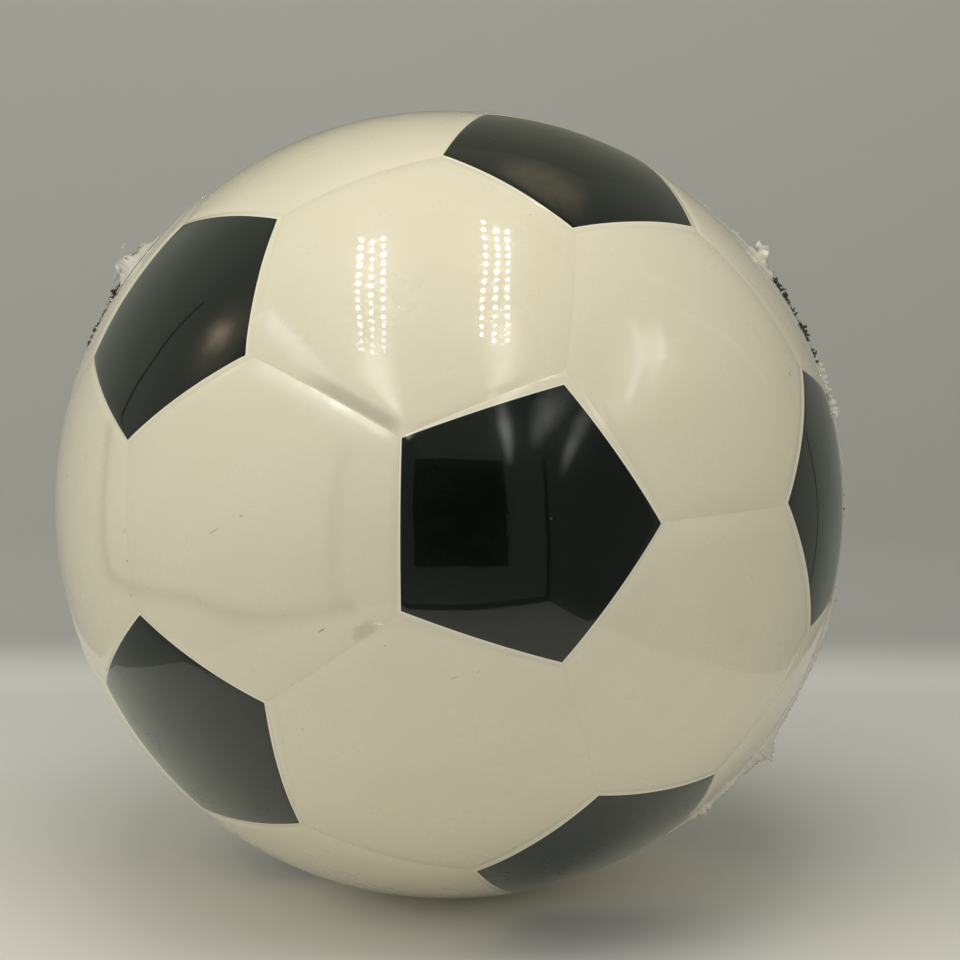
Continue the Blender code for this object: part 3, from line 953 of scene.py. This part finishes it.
# ---- inner pieces --------------------------------------------------------------------------
INNER = {
    "rubber_carcass": rubber("carcass_rubber", rgb(0.11, 0.10, 0.08), rgb(0.20, 0.18, 0.15), 0.75, 400),
    "nylon_winding": thread_material(),
    "bladder": rubber("bladder_butyl", rgb(0.022, 0.021, 0.022), rgb(0.055, 0.053, 0.052), 0.5),
    "valve_patch": rubber("patch_rubber", rgb(0.03, 0.028, 0.027), rgb(0.07, 0.066, 0.062), 0.65),
    "valve_body": rubber("valve_rubber", rgb(0.016, 0.016, 0.017), rgb(0.05, 0.048, 0.045), 0.48, 1400),
    "valve_core": rubber("core_rubber", rgb(0.030, 0.027, 0.025), rgb(0.08, 0.073, 0.066), 0.42, 1400),
}
for node, mat in INNER.items():
    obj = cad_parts[node]
    obj.data.materials.clear()
    obj.data.materials.append(mat)


# ---- stage ---------------------------------------------------------------------------------
def card(name, floor, wall):
    """Matt card seen from its front only, in one colour on the floor and another above it."""
    n = Nodes(name)
    shaded = tuple(c * 0.97 for c in floor[:3]) + (1.0,)
    height = n.new("SeparateXYZ")
    n.link(n.place, height.inputs[0])
    tone = n.mix(n.ramp(height.outputs[2], FLOOR_Z - 0.002, FLOOR_Z + 0.015),
                 n.mix(n.noise(6), floor, shaded), wall)
    n.set(color=tone, rough=0.8, spec=0.1)
    mixer = n.new("MixShader")
    n.link(n.new("NewGeometry").outputs["Backfacing"], mixer.inputs[0])
    n.link(n.shader.outputs[0], mixer.inputs[1])
    n.link(n.new("BsdfTransparent").outputs[0], mixer.inputs[2])
    n.link(mixer.outputs[0], n.out.inputs[0])
    return n.mat


def glow(name, colour, strength=1.0):
    """Light given off by a surface that only reflections see."""
    n = Nodes(name)
    light = n.new("Emission")
    light.inputs["Color"].default_value = colour
    light.inputs["Strength"].default_value = strength
    n.link(light.outputs[0], n.out.inputs[0])
    n.mat.cycles.emission_sampling = 'NONE'
    return n.mat


def reflected(name, verts, faces, mat):
    """A stage surface that only shows in reflections."""
    obj = add_mesh(name, verts, faces, [mat])
    obj.visible_camera = False
    obj.visible_diffuse = False
    obj.visible_shadow = False
    obj.visible_transmission = False
    return obj


# the white light tent round the ball, with an opening in its front wall
TENT_X = (-0.205, 0.195)
TENT_Y = (-0.42, 0.27)
TENT_Z = (FLOOR_Z + 0.001, 0.42)
TENT_SIDE_Y = -0.18            # where the right wall gets darker
TENT_TOP_Y = 0.0               # where the top gets lighter
OPENING_X = (-0.060, 0.108)
OPENING_Z = (-0.036, 0.163)
FOLD_LEFT = (-0.0085, -0.0055)
FOLD_RIGHT = (0.030, 0.0325)
INSIDE = 0.004                 # how far lines and edges stand off the walls


def build_sweep():
    """Pale floor that turns up into a grey back wall, seen from inside only."""
    bend, steps = 0.05, 12
    front, wide, top = -3.0, 1.6, 1.2
    start = TENT_Y[1] - bend
    line = [(front, FLOOR_Z), (start, FLOOR_Z)]
    for i in range(1, steps + 1):
        a = math.radians(90 * i / steps)
        line.append((start + bend * math.sin(a), FLOOR_Z + bend - bend * math.cos(a)))
    line.append((TENT_Y[1], top))
    verts = [(x, y, z) for y, z in line for x in (-wide, wide)]
    faces = [(2 * i, 2 * i + 1, 2 * i + 3, 2 * i + 2) for i in range(len(line) - 1)]
    obj = add_mesh("sweep", verts, faces, [card("sweep_card", rgb(0.84, 0.82, 0.76), rgb(0.42, 0.42, 0.395))])
    obj.data.shade_smooth()


def upright_x(x, y, z):
    """Corners of an upright rectangle across x."""
    return [(x, y[0], z[0]), (x, y[1], z[0]), (x, y[1], z[1]), (x, y[0], z[1])]


def upright_y(x, y, z):
    return [(x[0], y, z[0]), (x[1], y, z[0]), (x[1], y, z[1]), (x[0], y, z[1])]


def level(x, y, z):
    return [(x[0], y[0], z), (x[0], y[1], z), (x[1], y[1], z), (x[1], y[0], z)]


def build_tent():
    (x0, x1), (y0, y1), (z0, z1) = TENT_X, TENT_Y, TENT_Z
    (ox0, ox1), (oz0, oz1) = OPENING_X, OPENING_Z
    outside = (-0.6, 0.6)
    black = glow("tent_dark", rgb(0.0, 0.0, 0.0))
    walls = [
        ("left", (0.288, 0.290, 0.248), upright_x(x0, TENT_Y, TENT_Z)),
        ("right", (0.214, 0.216, 0.186), upright_x(x1, (y1, TENT_SIDE_Y), TENT_Z)),
        ("right_near", (0.112, 0.124, 0.103), upright_x(x1, (TENT_SIDE_Y, y0), TENT_Z)),
        ("top", (0.02, 0.02, 0.016), level(TENT_X, (y0, TENT_TOP_Y), z1)),
        ("top_back", (0.272, 0.264, 0.214), level(TENT_X, (TENT_TOP_Y, y1), z1)),
        ("back_high", (0.200, 0.196, 0.156), upright_y(TENT_X, y1 - 0.006, (0.10, z1))),
        ("front_left", (0.15, 0.175, 0.148), upright_y((x0, ox0), y0, TENT_Z)),
        ("front_right", (0.15, 0.175, 0.148), upright_y((ox1, x1), y0, TENT_Z)),
        ("front_low", (0.155, 0.18, 0.152), upright_y(OPENING_X, y0, (z0, oz0))),
        ("front_high", (0.21, 0.235, 0.20), upright_y(OPENING_X, y0, (oz1, z1))),
    ]
    for name, colour, corners in walls:
        reflected("tent_" + name, corners, [(0, 1, 2, 3)], glow("tent_%s_glow" % name, rgb(*colour)))
    # darkness outside, fold lines and corner shadows
    edge_x, edge_z = (x1 - 0.008, x1), z0 + 0.001
    lines = [
        ("tent_outside", upright_y(outside, y0 - 0.06, (-0.5, 0.6))),
        ("fold_left", upright_x(x0 + INSIDE, FOLD_LEFT, (0.03, 0.17))),
        ("fold_right", upright_x(x1 - INSIDE, FOLD_RIGHT, (z0, 0.30))),
        ("corner_right", upright_y(edge_x, y0 + INSIDE, (z0, 0.17))),
        ("floor_front_edge", [(x0, y0 + 0.012, edge_z), (x1, y0 + 0.012, edge_z),
                              (x1, y0, z0 + 0.009), (x0, y0, z0 + 0.009)]),
    ]
    for name, corners in lines:
        reflected(name, corners, [(0, 1, 2, 3)], black)


LED_ROWS = 14
LED_SIDES = 8
LED_R = 0.0028


def build_leds():
    """Two boards of small bright chips overhead, in three staggered columns each."""
    chips = glow("led_glow", rgb(1.0, 0.94, 0.82), 38.0)
    jitter = random.Random(5)
    boards = (
        (Vector((-0.0821, -0.0417, 0.30)), Vector((-0.1042, -0.1761, 0.30)), Vector((-0.1475, -0.3395, 0.30)),
         0.05),
        (Vector((0.0486, -0.0529, 0.30)), Vector((0.0634, -0.1855, 0.30)), Vector((0.0907, -0.3498, 0.30)),
         -0.03),
    )
    verts, faces = [], []
    for start, middle, end, first in boards:
        for off in (-1, 0, 1):
            for row in range(LED_ROWS):
                t = first + (row + (0.5 if off == 0 else 0.0)) / LED_ROWS * 0.76
                at = start * (1 - t) * (1 - 2 * t) + middle * 4 * t * (1 - t) + end * t * (2 * t - 1)
                at = at + Vector((off * (0.0122 + 0.012 * t), off * -0.004, 0))
                half = LED_R * jitter.uniform(0.8, 1.1)
                base = len(verts)
                for k in range(LED_SIDES):
                    a = 2 * math.pi * k / LED_SIDES
                    verts.append((at.x + half * math.cos(a), at.y + half * math.sin(a) * 1.35, at.z))
                faces.append(tuple(base + k for k in reversed(range(LED_SIDES))))
    reflected("led_boards", verts, faces, chips)


# haze of the lamps on the tent: points, half widths, brightness, and whether it is warm
GLARES = [
    ([(-0.0471, -0.1273, 0.1329), (-0.0454, -0.1432, 0.1163), (-0.0411, -0.1537, 0.1039),
      (-0.0349, -0.1636, 0.0901),
      (-0.0305, -0.1702, 0.0787)],
     (0.01, 0.0105, 0.008, 0.0045, 0.002), 3.3, False),
    ([(0.0318, -0.1139, 0.1487), (0.0333, -0.1307, 0.1338), (0.0336, -0.145, 0.118),
      (0.0319, -0.1555, 0.1044),
      (0.0316, -0.161, 0.0955)],
     (0.008, 0.009, 0.009, 0.006, 0.004), 3.0, False),
    ([(0.032, -0.16, 0.098), (0.0365, -0.1678, 0.0814), (0.039, -0.1724, 0.0696), (0.0403, -0.1767, 0.057)],
     (0.003, 0.004, 0.003, 0.002), 2.6, False),
    ([(0.073, -0.14, 0.106), (0.0631, -0.1558, 0.0885), (0.0583, -0.1635, 0.0773), (0.0552, -0.1695, 0.0658)],
     (0.01, 0.008, 0.005, 0.003), 1.2, False),
    ([(0.092, -0.137, 0.093), (0.0828, -0.1521, 0.0782), (0.0756, -0.162, 0.0643), (0.0708, -0.17, 0.0468)],
     (0.003, 0.0045, 0.0035, 0.002), 1.3, False),
    ([(0.124, -0.0749, 0.123), (0.1211, -0.0909, 0.1147), (0.1175, -0.1079, 0.1032), (0.11, -0.127, 0.088),
      (0.099, -0.142, 0.076)],
     (0.011, 0.016, 0.013, 0.01, 0.007), 1.9, False),
    ([(0.1332, -0.067, 0.1178), (0.1306, -0.0836, 0.1098), (0.126, -0.1008, 0.1003)],
     (0.005, 0.009, 0.005), 1.5, False),
    ([(-0.1386, -0.0535, 0.1185), (-0.1364, -0.0674, 0.1138), (-0.1339, -0.0799, 0.1085)],
     (0.005, 0.01, 0.005), 1.9, True),
    ([(-0.14, -0.048, 0.117), (-0.134, -0.072, 0.111), (-0.127, -0.096, 0.104)],
     (0.02, 0.026, 0.018), 0.4, True),
    ([(0.06, 0.2, 0.4), (0.1, 0.16, 0.4), (0.14, 0.115, 0.4), (0.185, 0.06, 0.4)],
     (0.03, 0.045, 0.045, 0.02), 0.42, True),
]


# profile of a ribbon: place across it, in half widths, and brightness
HAZE_PROFILE = [(-1.6, 0.0), (-1.0, 0.35), (-0.5, 0.85), (0.0, 1.0), (0.5, 0.85), (1.0, 0.35), (1.6, 0.0)]


def haze(name, colour):
    """Patchy light that takes its strength from the mesh and hides nothing behind it."""
    n = Nodes(name)
    light = n.new("Emission")
    light.inputs["Color"].default_value = colour
    patchy = n.ramp(n.noise(60, 3.0), 0.3, 0.7, 0.7, 1.15)
    n.link(n.math('MULTIPLY', n.attribute("haze"), patchy), light.inputs["Strength"])
    both = n.new("AddShader")
    n.link(light.outputs[0], both.inputs[0])
    n.link(n.new("BsdfTransparent").outputs[0], both.inputs[1])
    n.link(both.outputs[0], n.out.inputs[0])
    n.mat.cycles.emission_sampling = 'NONE'
    return n.mat


def build_glares():
    """Soft-edged ribbons of light, seen only in reflections."""
    neutral, amber = haze("lamp_haze", rgb(1.0, 0.97, 0.90)), haze("lamp_haze_warm", rgb(1.0, 0.76, 0.50))
    for i, (points, widths, power, warm) in enumerate(GLARES):
        pts = [Vector(p) for p in points]
        verts, faces, levels = [], [], []
        for j, (p, w) in enumerate(zip(pts, widths)):
            ahead = (pts[min(j + 1, len(pts) - 1)] - pts[max(j - 1, 0)]).normalized()
            side = ahead.cross(p.normalized()).normalized()
            fade = 0.0 if j in (0, len(pts) - 1) else 1.0
            for k, bright in HAZE_PROFILE:
                verts.append(tuple(p + side * w * k))
                levels.append(bright * fade * power)
        across = len(HAZE_PROFILE)
        for j in range(len(pts) - 1):
            for k in range(across - 1):
                a = j * across + k
                faces.append((a, a + 1, a + 1 + across, a + across))
        obj = reflected("lamp_haze_%d" % (i + 1), verts, faces, amber if warm else neutral)
        obj.data.attributes.new("haze", 'FLOAT', 'POINT').data.foreach_set("value", levels)


def area(name, at, size, power):
    """Soft light aimed at the ball that isn't seen itself: power is watts for red, green and blue."""
    data = bpy.data.lights.new(name, 'AREA')
    data.shape = 'RECTANGLE'
    data.size, data.size_y = size
    data.energy = max(power)
    data.color = [c / max(power) for c in power]
    obj = bpy.data.objects.new(name, data)
    obj.location = at
    obj.rotation_euler = (-Vector(at)).to_track_quat('-Z', 'Y').to_euler()
    obj.visible_glossy = False
    obj.visible_camera = False
    bpy.context.scene.collection.objects.link(obj)


LIGHTS = {
    # name: place, size, watts in red, green and blue
    "overhead": ((0.0, -0.17, 0.42), (0.34, 0.34), (1.18, 1.14, 1.04)),
    "left": ((-0.8, -0.2, 0.25), (0.8, 0.6), (1.70, 1.70, 1.62)),
    "right": ((0.8, -0.2, 0.25), (0.8, 0.6), (0.20, 0.19, 0.16)),
    "low_right": ((0.6, -0.5, -0.02), (0.5, 0.16), (0.58, 0.58, 0.54)),
    "low_left": ((-0.7, -0.3, -0.02), (0.5, 0.16), (0.50, 0.50, 0.47)),
}
AMBIENT = (0.370, 0.385, 0.385)


def build_stage():
    build_sweep()
    build_tent()
    build_leds()
    build_glares()
    for name, (at, size, power) in LIGHTS.items():
        area(name, at, size, power)
    world = bpy.data.worlds.new("studio")
    world.use_nodes = True
    world.node_tree.nodes["Background"].inputs[0].default_value = rgb(*AMBIENT)
    bpy.context.scene.world = world


def build_camera():
    data = bpy.data.cameras.new("camera")
    data.lens = CAMERA_LENS
    data.sensor_width = 36.0
    data.clip_start = 0.05
    cam = bpy.data.objects.new("camera", data)
    cam.location = CAMERA_AT
    cam.rotation_euler = (math.radians(CAMERA_PITCH), 0, 0)
    bpy.context.scene.collection.objects.link(cam)
    bpy.context.scene.camera = cam


build_stage()
build_camera()
bpy.context.scene.view_settings.view_transform = 'Standard'
bpy.context.scene.view_settings.look = 'None'
